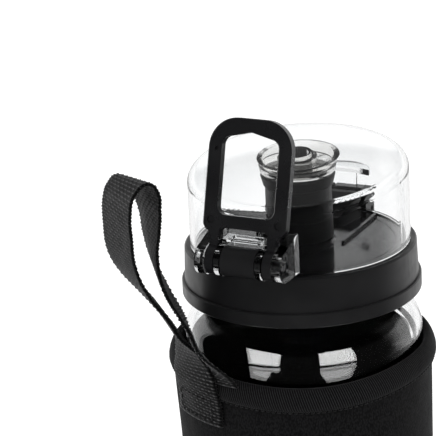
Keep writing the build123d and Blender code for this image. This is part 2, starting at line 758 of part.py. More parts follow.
# ---------------------------------------------------------------
# Padded sleeve, as plain closed solids
# ---------------------------------------------------------------
with BuildPart() as sleeve_base:
    with BuildSketch(Plane.XY):
        Circle(SLEEVE_OUT_R - 0.1)
    extrude(amount=SLEEVE_BASE_T)
sleeve_base.part.label = "sleeve_base"
export_step(sleeve_base.part, "parts/sleeve_base.step")

sleeve_parts = (
    (
        "sleeve_wall",
        SLEEVE_IN_R,
        SLEEVE_OUT_R,
        SLEEVE_BASE_T + FIT_GAP,
        SLEEVE_TOP_Z - BINDING_H - FIT_GAP,
    ),
    (
        "sleeve_binding",
        SLEEVE_IN_R,
        BINDING_R,
        SLEEVE_TOP_Z - BINDING_H,
        SLEEVE_TOP_Z,
    ),
    (
        "sleeve_base_binding",
        SLEEVE_OUT_R + FIT_GAP,
        SLEEVE_OUT_R + 1.3,
        0.2,
        SLEEVE_BASE_T + 3.6,
    ),
    (
        "binding_stitching",
        SLEEVE_OUT_R + 0.1,
        SLEEVE_OUT_R + 0.45,
        SLEEVE_TOP_Z - BINDING_H - 1.3,
        SLEEVE_TOP_Z - BINDING_H - 0.8,
    ),
)
for part_name, in_r, out_r, low_z, high_z in sleeve_parts:
    soft_ring = ring_solid(in_r, out_r, low_z, high_z)
    soft_ring.label = part_name
    export_step(soft_ring, f"parts/{part_name}.step")

# flat seam down the back of the sleeve
SEAM_HALF_ANGLE = 4.6
with BuildPart() as sleeve_side_seam:
    with BuildSketch(Plane.XY.offset(SLEEVE_BASE_T + 4.0)):
        Circle(SLEEVE_OUT_R + 0.9)
        Circle(SLEEVE_OUT_R + 0.1, mode=Mode.SUBTRACT)
        with BuildLine():
            far = 2 * BODY_R
            side = far * math.tan(math.radians(SEAM_HALF_ANGLE))
            Polyline((0, 0), (side, far), (-side, far), close=True)
        make_face(mode=Mode.INTERSECT)
    extrude(amount=SLEEVE_TOP_Z - BINDING_H - SLEEVE_BASE_T - 6.0)
sleeve_side_seam.part.label = "sleeve_side_seam"
export_step(sleeve_side_seam.part, "parts/sleeve_side_seam.step")

# ---------------------------------------------------------------
# Wrist strap: sewn patch, standing loop and stitching
# ---------------------------------------------------------------
ST = math.radians(STRAP_ANGLE)
STRAP_OUT = Vector(math.sin(ST), -math.cos(ST), 0)
STRAP_SIDE = Vector(math.cos(ST), math.sin(ST), 0)


def strap_sector(inner_r, outer_r, width, low_z, high_z):
    """Piece of a ring, centred on the strap's direction."""
    base = Plane(origin=(0, 0, low_z), x_dir=STRAP_SIDE, z_dir=(0, 0, 1))
    with BuildPart() as sector:
        with BuildSketch(base):
            Circle(outer_r)
            Circle(inner_r, mode=Mode.SUBTRACT)
            with Locations((0, -BODY_R)):
                Rectangle(width, 2 * BODY_R, mode=Mode.INTERSECT)
        extrude(amount=high_z - low_z)
    return sector.part


strap_patch = strap_sector(
    PATCH_R, PATCH_R + STRAP_T, STRAP_W, PATCH_LOW_Z, SLEEVE_TOP_Z + 0.2
)
strap_patch.label = "strap_patch"
export_step(strap_patch, "parts/strap_patch.step")

with BuildPart() as strap_stitching:
    add(
        strap_sector(
            PATCH_R + STRAP_T + 0.05,
            PATCH_R + STRAP_T + 0.35,
            STRAP_W - 3.0,
            PATCH_LOW_Z + 2.0,
            SLEEVE_TOP_Z - 1.0,
        )
    )
    add(
        strap_sector(
            PATCH_R + STRAP_T - 0.3,
            PATCH_R + STRAP_T + 0.6,
            STRAP_W - 4.2,
            PATCH_LOW_Z + 2.6,
            SLEEVE_TOP_Z - 1.6,
        ),
        mode=Mode.SUBTRACT,
    )
strap_stitching.part.label = "strap_stitching"
export_step(strap_stitching.part, "parts/strap_stitching.step")

# centre line of the standing loop: distance past the bottle wall, height past the seam
LOOP_PATH = (
    (5.6, -21.4),
    (6.3, -13.5),
    (8.3, -6.0),
    (11.8, 0.2),
    (17.6, 8.4),
    (22.0, 16.2),
    (23.8, 25.4),
    (24.2, 32.4),
    (22.4, 38.0),
    (18.2, 40.0),
    (15.6, 37.0),
    (14.2, 31.3),
    (13.8, 25.7),
    (14.1, 19.2),
    (13.0, 12.4),
    (9.4, 3.4),
    (6.2, -5.0),
    (4.5, -13.0),
    (3.9, -21.4),
)


def offset_path(points, amount):
    """Points moved sideways by an amount, square to the local direction."""
    moved = []
    last = len(points) - 1
    for i, (r, z) in enumerate(points):
        r0, z0 = points[max(i - 1, 0)]
        r1, z1 = points[min(i + 1, last)]
        if i in (0, last):
            dr, dz = (0.0, 1.0 if i == 0 else -1.0)
        else:
            dr, dz = (r1 - r0, z1 - z0)
        size = math.hypot(dr, dz)
        moved.append((BODY_R + r - dz / size * amount, SEAM_Z + z + dr / size * amount))
    return moved


strap_frame = Plane(
    origin=STRAP_SIDE * (STRAP_W / 2),
    x_dir=STRAP_OUT,
    z_dir=-STRAP_SIDE,
)
outer_line = offset_path(LOOP_PATH, STRAP_T / 2)
inner_line = offset_path(LOOP_PATH, -STRAP_T / 2)
with BuildPart() as wrist_strap:
    with BuildSketch(strap_frame):
        with BuildLine():
            Spline(*outer_line)
            Line(outer_line[-1], inner_line[-1])
            Spline(*reversed(inner_line))
            Line(inner_line[0], outer_line[0])
        make_face()
    extrude(amount=STRAP_W)
wrist_strap.part.label = "wrist_strap"
export_step(wrist_strap.part, "parts/wrist_strap.step")
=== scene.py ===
"""Looks of a clear flip-lid drinking bottle in a padded sleeve with a wrist loop."""

import logging
import math
from dataclasses import dataclass, field
from enum import Enum
from typing import Callable, Sequence

import bpy
from mathutils import Matrix, Vector


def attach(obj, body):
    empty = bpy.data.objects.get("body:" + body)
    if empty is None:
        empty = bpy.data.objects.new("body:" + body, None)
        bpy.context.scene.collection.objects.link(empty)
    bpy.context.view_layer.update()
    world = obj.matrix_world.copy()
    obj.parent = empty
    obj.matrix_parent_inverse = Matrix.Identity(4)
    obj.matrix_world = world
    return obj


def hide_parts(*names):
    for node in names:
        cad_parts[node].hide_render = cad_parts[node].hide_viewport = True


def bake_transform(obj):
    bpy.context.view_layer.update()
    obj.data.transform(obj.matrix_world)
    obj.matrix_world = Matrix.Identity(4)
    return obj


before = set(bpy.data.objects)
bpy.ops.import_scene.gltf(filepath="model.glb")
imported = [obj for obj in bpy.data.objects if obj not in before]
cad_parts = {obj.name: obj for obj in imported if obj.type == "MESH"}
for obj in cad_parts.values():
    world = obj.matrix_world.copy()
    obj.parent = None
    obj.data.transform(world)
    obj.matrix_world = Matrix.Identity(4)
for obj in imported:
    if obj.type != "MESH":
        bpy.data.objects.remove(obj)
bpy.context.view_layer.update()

logging.basicConfig(level=logging.INFO, format="%(name)s: %(message)s")
log = logging.getLogger("bottle")

MM = 0.001
Triple = tuple[float, float, float]
Colour = Triple
Point = tuple[float, float]
Socket = bpy.types.NodeSocket
Piece = bpy.types.Object


# ---------------------------------------------------------------
# Finishes
# ---------------------------------------------------------------


def add_node(
    tree: bpy.types.NodeTree, kind: str, values: dict[str | int, object]
) -> bpy.types.Node:
    """Add a shader node and fill its inputs.

    Args:
        tree: Node tree that it goes in.
        kind: Type of the node, without the "ShaderNode" in front.
        values: Each input's name or number, with its value or the output that feeds it.

    Returns:
        The node.
    """
    node = tree.nodes.new("ShaderNode" + kind)
    for name, value in values.items():
        if isinstance(value, Socket):
            tree.links.new(value, node.inputs[name])
        else:
            node.inputs[name].default_value = value
    return node


class Recipe:
    """A node material, put together one node at a time around one Principled skin."""

    def __init__(self, name: str) -> None:
        """Start an empty material.

        Args:
            name: Name of the material.
        """
        self.material = bpy.data.materials.new(name)
        self.material.use_nodes = True
        self.tree = self.material.node_tree
        self.tree.nodes.clear()
        self.skin = self.node("BsdfPrincipled", {})
        self.node("OutputMaterial", {"Surface": self.skin.outputs["BSDF"]})
        self.place = self.node("TexCoord", {}).outputs["Object"]

    def node(self, kind: str, values: dict[str | int, object]) -> bpy.types.Node:
        """Add a node to the material, as add_node does."""
        return add_node(self.tree, kind, values)

    def fix(self, **values: float | Colour) -> None:
        """Set sockets of the skin to values that are the same all over.

        Args:
            **values: Socket name, with _ for each space, and its value.
        """
        for name, value in values.items():
            socket = self.skin.inputs[name.replace("_", " ")]
            colour = isinstance(value, tuple)
            socket.default_value = (*value, 1.0) if colour else value

    def feed(self, name: str, source: Socket) -> None:
        """Drive one socket of the skin with a pattern."""
        self.tree.links.new(source, self.skin.inputs[name])

    def stretched(self, stretch: Triple) -> Socket:
        """Object coordinates scaled along each axis, to draw a pattern out in streaks."""
        values = {"Vector": self.place, "Scale": stretch}
        return self.node("Mapping", values).outputs["Vector"]

    def noise(
        self, size: float, detail: float = 3.0, stretch: Triple = (1.0, 1.0, 1.0)
    ) -> Socket:
        """Cloudy pattern.

        Args:
            size: Width of one blotch, in metres.
            detail: How many finer layers it has.
            stretch: Scale along each axis.

        Returns:
            The pattern, about 0.3 to 0.7.
        """
        place = self.stretched(stretch)
        values = {"Vector": place, "Scale": 1.0 / size, "Detail": detail}
        return self.node("TexNoise", values).outputs["Fac"]

    def cells(self, size: float, stretch: Triple = (1.0, 1.0, 1.0)) -> Socket:
        """Distance to the nearest of many scattered points, for loops and pebbles.

        Args:
            size: Distance between neighbouring points, in metres.
            stretch: Scale along each axis.

        Returns:
            The distance, 0 at each point.
        """
        values = {"Vector": self.stretched(stretch), "Scale": 1.0 / size}
        return self.node("TexVoronoi", values).outputs["Distance"]

    def raised(self, yarns: Socket) -> Socket:
        """How high a point stands on its yarn, broken up a little by the fibres."""
        # The result sets the cloth colour: low points are painted darker as painted
        # shade, and high points lighter.
        height = self.node("Attribute", {})
        height.attribute_name = "raised"
        share = -0.3
        mixed = self.node("Math", {0: yarns, 1: share, 2: height.outputs["Fac"]})
        mixed.operation = "MULTIPLY_ADD"
        return mixed.outputs["Value"]

    def matt_above(self, height: float, roughness: Socket) -> Socket:
        """Make a roughness much greater above a height, as on a textured mould face.

        Args:
            height: Height of the change, in metres.
            roughness: Roughness below it.

        Returns:
            The roughness at every height.
        """
        fade = 0.5 * MM
        added = 0.4
        split = self.node("SeparateXYZ", {"Vector": self.place})
        values = {
            "Value": split.outputs["Z"],
            "From Min": height,
            "From Max": height + fade,
            "To Max": added,
        }
        step = self.node("MapRange", values).outputs["Result"]
        return self.node("Math", {0: roughness, 1: step}).outputs["Value"]

    def spread(self, pattern: Socket, low: float, high: float) -> Socket:
        """Stretch a pattern's middle range to run from low to high."""
        values = {"Value": pattern, "From Min": 0.3, "From Max": 0.7}
        ends = {"To Min": low, "To Max": high}
        return self.node("MapRange", values | ends).outputs["Result"]

    def ramp(self, pattern: Socket, dark: Colour, light: Colour) -> Socket:
        """Turn a pattern into a colour between dark and light."""
        node = self.node("ValToRGB", {"Fac": pattern})
        places = (0.32, 0.68)
        for stop, place, colour in zip(node.color_ramp.elements, places, (dark, light)):
            stop.position = place
            stop.color = (*colour, 1.0)
        return node.outputs["Color"]

    def relief(self, heights: Sequence[tuple[Socket, float]]) -> None:
        """Stack bumps on the skin.

        Args:
            heights: Each pattern and the depth it stands for, in metres.
        """
        below = {}
        for pattern, depth in heights:
            values = {"Strength": 1.0, "Distance": depth, "Height": pattern}
            bump = self.node("Bump", values | below)
            below = {"Normal": bump.outputs["Normal"]}
        self.feed("Normal", below["Normal"])


@dataclass(frozen=True)
class ClearPlastic:
    """Transparent moulded plastic with faint flow marks."""

    name: str
    dark: Colour = (0.95, 0.96, 0.965)
    light: Colour = (0.995, 0.998, 1.0)
    smooth: float = 0.012
    worn: float = 0.05
    flow: float = 0.00001

    def make(self) -> bpy.types.Material:
        """Build the material."""
        recipe = Recipe(self.name)
        recipe.fix(IOR=1.5, Transmission_Weight=1.0)
        cloud = recipe.noise(0.02)
        recipe.feed("Base Color", recipe.ramp(cloud, self.dark, self.light))
        recipe.feed(
            "Roughness", recipe.spread(recipe.noise(0.006), self.smooth, self.worn)
        )
        recipe.relief([(recipe.noise(0.012, 1.0), self.flow)])
        return recipe.material


@dataclass(frozen=True)
class MouldedPlastic:
    """Opaque moulded plastic: a colour that drifts, uneven gloss and a fine grain."""

    name: str
    dark: Colour
    light: Colour
    smooth: float
    worn: float
    grain: float = 0.0004
    grain_depth: float = 0.00001
    matt_above: float | None = None

    def make(self) -> bpy.types.Material:
        """Build the material."""
        recipe = Recipe(self.name)
        recipe.fix(IOR=1.5)
        recipe.feed(
            "Base Color", recipe.ramp(recipe.noise(0.012), self.dark, self.light)
        )
        roughness = recipe.spread(recipe.noise(0.004), self.smooth, self.worn)
        if self.matt_above is not None:
            roughness = recipe.matt_above(self.matt_above, roughness)
        recipe.feed("Roughness", roughness)
        recipe.relief(
            [
                (recipe.noise(0.015, 1.0), self.grain_depth),
                (recipe.noise(self.grain, 2.0), self.grain_depth),
            ]
        )
        return recipe.material


@dataclass(frozen=True)
class Silicone:
    """Clear rubber, faintly warm and hazy."""

    name: str
    dark: Colour = (0.93, 0.92, 0.90)
    light: Colour = (0.985, 0.98, 0.97)

    def make(self) -> bpy.types.Material:
        """Build the material."""
        recipe = Recipe(self.name)
        recipe.fix(IOR=1.41, Transmission_Weight=1.0)
        recipe.feed(
            "Base Color", recipe.ramp(recipe.noise(0.006), self.dark, self.light)
        )
        recipe.feed("Roughness", recipe.spread(recipe.noise(0.003), 0.04, 0.12))
        recipe.relief([(recipe.noise(0.0008), 0.00001)])
        return recipe.material


@dataclass(frozen=True)
class DrawnSteel:
    """Steel pin stock with streaks along X."""

    name: str
    dark: Colour = (0.30, 0.30, 0.31)
    light: Colour = (0.55, 0.55, 0.56)

    def make(self) -> bpy.types.Material:
        """Build the material."""
        recipe = Recipe(self.name)
        recipe.fix(Metallic=1.0)
        streaks = recipe.noise(0.0004, 2.0, (0.06, 1.0, 1.0))
        recipe.feed("Base Color", recipe.ramp(streaks, self.dark, self.light))
        recipe.feed("Roughness", recipe.spread(recipe.noise(0.002), 0.22, 0.4))
        recipe.relief([(streaks, 0.000008)])
        return recipe.material


@dataclass(frozen=True)
class Cloth:
    """Fabric: fibres catch the light at the edges, and yarns stand up from it."""

    name: str
    dark: Colour
    light: Colour
    yarn: float
    yarn_depth: float
    along: Triple = (1.0, 1.0, 1.0)
    sheen: float = 0.06
    rough: Point = (0.75, 0.95)
    gloss: float = 0.15
    # When set, the colour follows each point's marked height: painted shade in the
    # grooves, lighter on the raised yarn.
    raised: bool = False

    def make(self) -> bpy.types.Material:
        """Build the material."""
        recipe = Recipe(self.name)
        recipe.fix(IOR=1.45, Specular_IOR_Level=self.gloss)
        recipe.fix(Sheen_Weight=self.sheen, Sheen_Roughness=0.45)
        recipe.fix(Sheen_Tint=(0.8, 0.8, 0.82))
        yarns = recipe.cells(self.yarn, self.along)
        # Painted shade: either way the colour is darker where the yarn surface is low, in
        # the gaps and grooves, and lighter on the raised yarn tops, just as the relief
        # below is.
        if self.raised:
            colour = recipe.ramp(recipe.raised(yarns), self.dark, self.light)
        else:
            colour = recipe.ramp(yarns, self.light, self.dark)
        recipe.feed("Base Color", colour)
        recipe.feed("Roughness", recipe.spread(recipe.noise(0.005), *self.rough))
        recipe.relief(
            [
                (recipe.noise(0.009, 2.0), self.yarn_depth),
                (recipe.noise(self.yarn * 0.5, 2.0, self.along), self.yarn_depth),
                (yarns, -self.yarn_depth),
            ]
        )
        return recipe.material


class Finish(Enum):
    """Every finish on the bottle."""

    BOTTLE = ClearPlastic("clear_bottle_wall", worn=0.022)
    COVER = ClearPlastic("clear_cover_wall", smooth=0.006, worn=0.03)
    RUBBER = Silicone("clear_silicone")
    COLLAR = MouldedPlastic(
        "satin_lid_shell",
        (0.009, 0.009, 0.010),
        (0.014, 0.014, 0.015),
        0.34,
        0.46,
        grain_depth=0.00002,
    )
    DECK = MouldedPlastic(
        "gloss_lid_top",
        (0.006, 0.006, 0.007),
        (0.010, 0.010, 0.011),
        0.06,
        0.12,
        matt_above=229.5 * MM,
    )
    LOOP = MouldedPlastic(
        "satin_carry_loop",
        (0.007, 0.007, 0.008),
        (0.012, 0.012, 0.013),
        0.24,
        0.34,
        grain_depth=0.00002,
    )
    LATCH = MouldedPlastic(
        "latch_plastic", (0.020, 0.020, 0.021), (0.030, 0.030, 0.032), 0.2, 0.3
    )
    PIN = DrawnSteel("drawn_pin_steel")
    # In the cloth finishes, dark is painted shade for the low gaps and grooves, and light
    # is the colour of the raised yarn tops.
    SLEEVE = Cloth(
        "sleeve_knit",
        (0.0025, 0.0025, 0.0028),
        (0.0085, 0.0085, 0.009),
        0.0006,
        0.00006,
        (1.6, 1.6, 0.7),
    )
    TAPE = Cloth(
        "ribbed_tape",
        (0.001, 0.001, 0.0012),
        (0.024, 0.024, 0.025),
        0.0005,
        0.00003,
        raised=True,
    )
    SEAM = Cloth(
        "seam_tape", (0.003, 0.003, 0.003), (0.012, 0.012, 0.012), 0.0005, 0.00003
    )
    WEBBING = Cloth(
        "woven_webbing",
        (0.0005, 0.0005, 0.0006),
        (0.11, 0.11, 0.113),
        0.0004,
        0.00003,
        sheen=0.08,
        rough=(0.5, 0.7),
        gloss=0.4,
        raised=True,
    )
    THREAD = Cloth(
        "sewing_thread",
        (0.006, 0.006, 0.006),
        (0.024, 0.024, 0.025),
        0.0003,
        0.00002,
        rough=(0.5, 0.7),
        gloss=0.3,
    )

    def material(self) -> bpy.types.Material:
        """The finish's one material, made the first time it is asked for."""
        found = bpy.data.materials.get(self.value.name)
        return found if found is not None else self.value.make()


def coat(piece: Piece, finish: Finish) -> None:
    """Give every surface of a piece one finish.

    Args:
        piece: Piece or carried-over solid.
        finish: Finish to use.
    """
    if not piece.material_slots:
        piece.data.materials.append(finish.material())
    for slot in piece.material_slots:
        slot.material = finish.material()


# ---------------------------------------------------------------
# Modelling by hand
# ---------------------------------------------------------------


class Bench:
    """Steps that several pieces share, each one an edit a modeller makes by hand."""

    @staticmethod
    def start() -> None:
        """Leave edit mode and deselect everything."""
        if bpy.context.object is not None and bpy.context.object.mode != "OBJECT":
            bpy.ops.object.mode_set(mode="OBJECT")
        bpy.ops.object.select_all(action="DESELECT")

    @staticmethod
    def edit() -> None:
        """Enter edit mode."""
        bpy.ops.object.mode_set(mode="EDIT")

    @staticmethod
    def leave() -> None:
        """Leave edit mode."""
        bpy.ops.object.mode_set(mode="OBJECT")

    @staticmethod
    def pick(piece: Piece) -> None:
        """Make a piece the only one selected, and the active one."""
        Bench.start()
        piece.select_set(True)
        bpy.context.view_layer.objects.active = piece

    @staticmethod
    def name_it(name: str) -> Piece:
        """Name the new primitive and its mesh, and return it."""
        piece = bpy.context.object
        piece.name = name
        piece.data.name = name
        return piece

    @staticmethod
    def settle(piece: Piece) -> None:
        """Put a piece's place into its mesh, so that its object is at the origin."""
        Bench.pick(piece)
        bpy.ops.object.transform_apply(location=True, rotation=True, scale=True)

    @staticmethod
    def choose(piece: Piece, test: Callable[[Vector], bool]) -> None:
        """Select the points of a piece that pass a test, and enter edit mode.

        Args:
            piece: Piece at the origin.
            test: Says whether a point at this place is wanted.
        """
        Bench.pick(piece)
        Bench.edit()
        bpy.ops.mesh.select_mode(type="VERT")
        bpy.ops.mesh.select_all(action="DESELECT")
        Bench.leave()
        for vertex in piece.data.vertices:
            vertex.select = test(vertex.co)
        Bench.edit()

    @staticmethod
    def nudge(piece: Piece, test: Callable[[Vector], bool], move: Triple) -> None:
        """Move the points of a piece that pass a test.

        Args:
            piece: Piece at the origin.
            test: Says whether a point at this place is to move.
            move: How far it moves along each axis.
        """
        Bench.choose(piece, test)
        bpy.ops.transform.translate(value=move)
        Bench.leave()

    @staticmethod
    def choose_faces(
        piece: Piece, test: Callable[[bpy.types.MeshPolygon], bool]
    ) -> None:
        """Select the faces of a piece that pass a test, and enter edit mode.

        Args:
            piece: Piece at the origin.
            test: Says whether a face is wanted.
        """
        Bench.pick(piece)
        Bench.edit()
        bpy.ops.mesh.select_mode(type="FACE")
        bpy.ops.mesh.select_all(action="DESELECT")
        Bench.leave()
        for face in piece.data.polygons:
            face.select = test(face)
        Bench.edit()

    @staticmethod
    def finish_modifiers(piece: Piece) -> None:
        """Apply every modifier of a piece, in order."""
        Bench.pick(piece)
        for modifier in list(piece.modifiers):
            bpy.ops.object.modifier_apply(modifier=modifier.name)

    @staticmethod
    def soften(piece: Piece, levels: int) -> None:
        """Subdivide a piece smoothly, and apply it."""
        modifier = piece.modifiers.new("soften", "SUBSURF")
        modifier.levels = levels
        modifier.render_levels = levels
        Bench.finish_modifiers(piece)

    @staticmethod
    def face_out(piece: Piece) -> None:
        """Merge doubles, turn every face outwards and shade the piece smooth."""
        Bench.pick(piece)
        Bench.edit()
        bpy.ops.mesh.select_all(action="SELECT")
        bpy.ops.mesh.remove_doubles(threshold=0.00001)
        bpy.ops.mesh.normals_make_consistent(inside=False)
        Bench.leave()
        bpy.ops.object.shade_smooth()

    @staticmethod
    def turned(
        name: str,
        profile: Sequence[Point],
        columns: int,
        twist: float = 0.0,
        crests: bool = False,
    ) -> Piece:
        """Make a closed ring by drawing a circle out along a profile.

        Args:
            name: Name of the piece.
            profile: Radius and height of each row, going once round the section.
            columns: Points in each circle.
            twist: Angle that the columns turn through, all the way round the section.
            crests: Put every second column in the group "crest".

        Returns:
            The ring, open nowhere.
        """
        Bench.start()
        radius, height = profile[0]
        bpy.ops.mesh.primitive_circle_add(
            vertices=columns, radius=radius, location=(0.0, 0.0, height)
        )
        ring = Bench.name_it(name)
        Bench.settle(ring)
        if crests:
            group = ring.vertex_groups.new(name="crest")
            group.add(list(range(0, columns, 2)), 1.0, "REPLACE")
        Bench.edit()
        bpy.ops.mesh.select_mode(type="VERT")
        bpy.ops.mesh.select_all(action="SELECT")
        closed = [*profile, profile[0]]
        perimeter = sum(math.dist(a, b) for a, b in zip(closed, closed[1:]))
        for (r0, z0), (r1, z1) in zip(closed, closed[1:]):
            bpy.ops.mesh.extrude_region_move(
                TRANSFORM_OT_translate={"value": (0.0, 0.0, z1 - z0)}
            )
            bpy.ops.transform.resize(
                value=(r1 / r0, r1 / r0, 1.0), center_override=(0.0, 0.0, z1)
            )
            turn = twist * math.dist((r0, z0), (r1, z1)) / perimeter
            if turn:
                bpy.ops.transform.rotate(
                    value=turn, orient_axis="Z", center_override=(0.0, 0.0, z1)
                )
        Bench.face_out(ring)
        return ring

    @staticmethod
    def raise_crests(ring: Piece, height: float) -> None:
        """Push the crest columns of a ring out along their normals."""
        Bench.choose(ring, lambda place: False)
        ring.vertex_groups.active = ring.vertex_groups["crest"]
        bpy.ops.object.vertex_group_select()
        bpy.ops.transform.shrink_fatten(value=height)
        Bench.leave()

    @staticmethod
    def mark_raised(piece: Piece, height: Callable[[int], float]) -> None:
        """Write how high each point stands on its yarn to the attribute "raised".

        Args:
            piece: Piece to mark.
            height: Gives the height of a point by its number, 0 low and 1 high.
        """
        # The cloth colour reads this height to paint shade into the low points.
        raised = piece.data.attributes.new("raised", "FLOAT", "POINT")
        for index, entry in enumerate(raised.data):
            entry.value = height(index)

    @staticmethod
    def lay_copies(pattern: Piece, places: Sequence[Matrix], name: str) -> Piece:
        """Lay one copy of a pattern, with its own mesh, at each place, and join them.

        Args:
            pattern: Model to copy, at the origin. It is used up.
            places: Where each copy goes.
            name: Name of the joined piece.

        Returns:
            The joined piece.
        """
        copies = []
        for place in places:
            copy = pattern.copy()
            copy.data = pattern.data.copy()
            copy.data.transform(place)
            bpy.context.scene.collection.objects.link(copy)
            copies.append(copy)
        Bench.start()
        bpy.data.objects.remove(pattern)
        for copy in copies:
            copy.select_set(True)
        bpy.context.view_layer.objects.active = copies[0]
        bpy.ops.object.join()
        return Bench.name_it(name)


def eased(value: float, low: float, high: float) -> float:
    """Smooth step from 0 at low to 1 at high."""
    share = min(max((value - low) / (high - low), 0.0), 1.0)
    return share * share * (3.0 - 2.0 * share)


def upright_place(angle: float, radius: float, height: float, roll: float) -> Matrix:
    """Place on the sleeve's round surface, with X along it, Y up it and Z out of it.

    Args:
        angle: Direction from the axis, 0 along +X, in radians.
        radius: Distance from the axis.
        height: Height of the place.
        roll: Turn about the outward direction, in radians.

    Returns:
        The matrix from the pattern's own space.
    """
    out = Vector((math.cos(angle), math.sin(angle), 0.0))
    along = Vector((-math.sin(angle), math.cos(angle), 0.0))
    up = Vector((0.0, 0.0, 1.0))
    turn = Matrix((along, up, out)).transposed().to_4x4()
    return (
        Matrix.Translation(out * radius + up * height)
        @ turn
        @ Matrix.Rotation(roll, 4, "Z")
    )


@dataclass(frozen=True)
class Stitch:
    """One stitch: a short thread that dives in at both ends."""

    length: float
    thickness: float

    def model(self) -> Piece:
        """Model the stitch at the origin, along X, standing out along Z."""
        Bench.start()
        bpy.ops.mesh.primitive_uv_sphere_add(
            segments=8, ring_count=6, radius=self.thickness / 2
        )
        stitch = Bench.name_it("stitch")
        Bench.edit()
        bpy.ops.mesh.select_all(action="SELECT")
        bpy.ops.transform.rotate(
            value=math.pi / 2, orient_axis="Y", center_override=(0.0, 0.0, 0.0)
        )
        bpy.ops.transform.resize(
            value=(self.length / self.thickness, 1.0, 0.8),
            center_override=(0.0, 0.0, 0.0),
        )
        Bench.leave()
        ends = self.length * 0.4
        sink = (0.0, 0.0, -self.thickness * 0.4)
        Bench.nudge(stitch, lambda place: abs(place.x) > ends, sink)
        bpy.ops.object.shade_smooth()
        return stitch


# ---------------------------------------------------------------
# Hard parts, carried over
# ---------------------------------------------------------------


@dataclass
class HardParts:
    """The moulded and drawn parts: their solids stay and get their finishes."""

    finishes: dict[str, Finish] = field(
        default_factory=lambda: {
            "bottle_body": Finish.BOTTLE,
            "neck_gasket": Finish.RUBBER,
            "lid_collar": Finish.COLLAR,
            "lid_deck": Finish.DECK,
            "dome_cover": Finish.COVER,
            "spout_plug": Finish.RUBBER,
            "hinge_pin": Finish.PIN,
            "carry_loop": Finish.LOOP,
            "latch_button": Finish.LATCH,
            "latch_pin": Finish.PIN,
        }
    )

    def dress(self) -> None:
        """Give each solid its finish."""
        for name, finish in self.finishes.items():
            coat(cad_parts[name], finish)
            log.info("%s finished as %s", name, finish.value.name)


# ---------------------------------------------------------------
# Sleeve
# ---------------------------------------------------------------


@dataclass(frozen=True)
class Mouth:
    """How the soft mouth sits: dipped at the front, wider on the loop's side."""

    front: float = math.radians(-63.0)
    rise: float = 2.8 * MM
    rise_round: float = math.radians(75.0)
    rise_from: float = 130.0 * MM
    rise_to: float = 186.0 * MM
    flare: float = 0.8 * MM
    lean: float = 0.6 * MM
    flare_from: float = 160.0 * MM
    flare_to: float = 192.0 * MM

    def shape(self, piece: Piece) -> None:
        """Move every point of a straight sleeve piece to where it really sits."""
        for vertex in piece.data.vertices:
            vertex.co = self.seat(vertex.co)

    def seat(self, point: Vector) -> Vector:
        """Where a point of the straight sleeve really sits.

        Args:
            point: Place on a sleeve with a level, round mouth.

        Returns:
            The same place on this one.
        """
        angle = math.remainder(math.atan2(point.y, point.x) - self.front, math.tau)
        lift = self.rise * eased(abs(angle), 0.0, self.rise_round)
        lift *= eased(point.z, self.rise_from, self.rise_to)
        wider = self.flare * math.sin(angle) ** 2 - self.lean * math.sin(angle)
        wider *= eased(point.z, self.flare_from, self.flare_to)
        radius = point.xy.length
        stretch = (radius + wider) / radius
        return Vector((point.x * stretch, point.y * stretch, point.z + lift))


def sew_on(piece: Piece, finish: Finish, node: str) -> None:
    """Finish a sleeve piece, and let it stand for its plain solid.

    Args:
        piece: The detailed piece.
        finish: Its finish.
        node: Solid that it replaces.
    """
    coat(piece, finish)
    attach(piece, "sleeve")
    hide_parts(node)


@dataclass
class PaddedWall:
    """The sleeve's foam tube, swollen a little between its bindings."""

    bore: float = 35.32 * MM
    outside: float = 37.3 * MM
    low: float = 2.6 * MM
    high: float = 191.0 * MM
    rows: int = 44
    columns: int = 128
    most_swell: float = 0.4 * MM
    pressure: float = 4.0
    stiffness: float = 15.0
    swell_steps: int = 20

    def build(self) -> Piece:
        """Model the tube, and let it swell."""
        edge = 0.5 * MM
        tall = self.high - self.low - 2 * edge
        steps = [self.low + edge + tall * i / self.rows for i in range(self.rows + 1)]
        inner = [(self.bore, z) for z in steps[:: self.rows // 4]]
        outer = [(self.outside, z) for z in reversed(steps)]
        top = [(self.bore + edge, self.high), (self.outside - edge, self.high)]
        bottom = [(self.outside - edge, self.low), (self.bore + edge, self.low)]
        wall = Bench.turned(
            "sleeve_wall_foam", [*inner, *top, *outer, *bottom], self.columns
        )
        self.swell(wall)
        Bench.soften(wall, 1)
        Mouth().shape(wall)
        return wall

    def swell(self, wall: Piece) -> None:
        """Blow the foam's outer skin up as cloth, held at its bore and edges.

        Args:
            wall: The tube.
        """
        rest = [vertex.co.copy() for vertex in wall.data.vertices]
        held = wall.vertex_groups.new(name="held")
        outer = self.outside - 0.01 * MM
        fixed = [i for i, co in enumerate(rest) if co.xy.length < outer]
        held.add(fixed, 1.0, "REPLACE")
        cloth = wall.modifiers.new("swell", "CLOTH")
        cloth.settings.vertex_group_mass = "held"
        cloth.settings.use_pressure = True
        cloth.settings.uniform_pressure_force = self.pressure
        cloth.settings.effector_weights.gravity = 0.0
        cloth.settings.tension_stiffness = self.stiffness
        cloth.settings.quality = 5
        cloth.collision_settings.use_collision = False
        for step in range(1, self.swell_steps + 1):
            bpy.context.scene.frame_set(step)
        Bench.finish_modifiers(wall)
        for vertex, start in zip(wall.data.vertices, rest):
            move = vertex.co - start
            if move.length > self.most_swell:
                vertex.co = start + move.normalized() * self.most_swell
        bpy.context.scene.frame_set(1)

    def dress(self, wall: Piece) -> None:
        sew_on(wall, Finish.SLEEVE, "sleeve_wall")


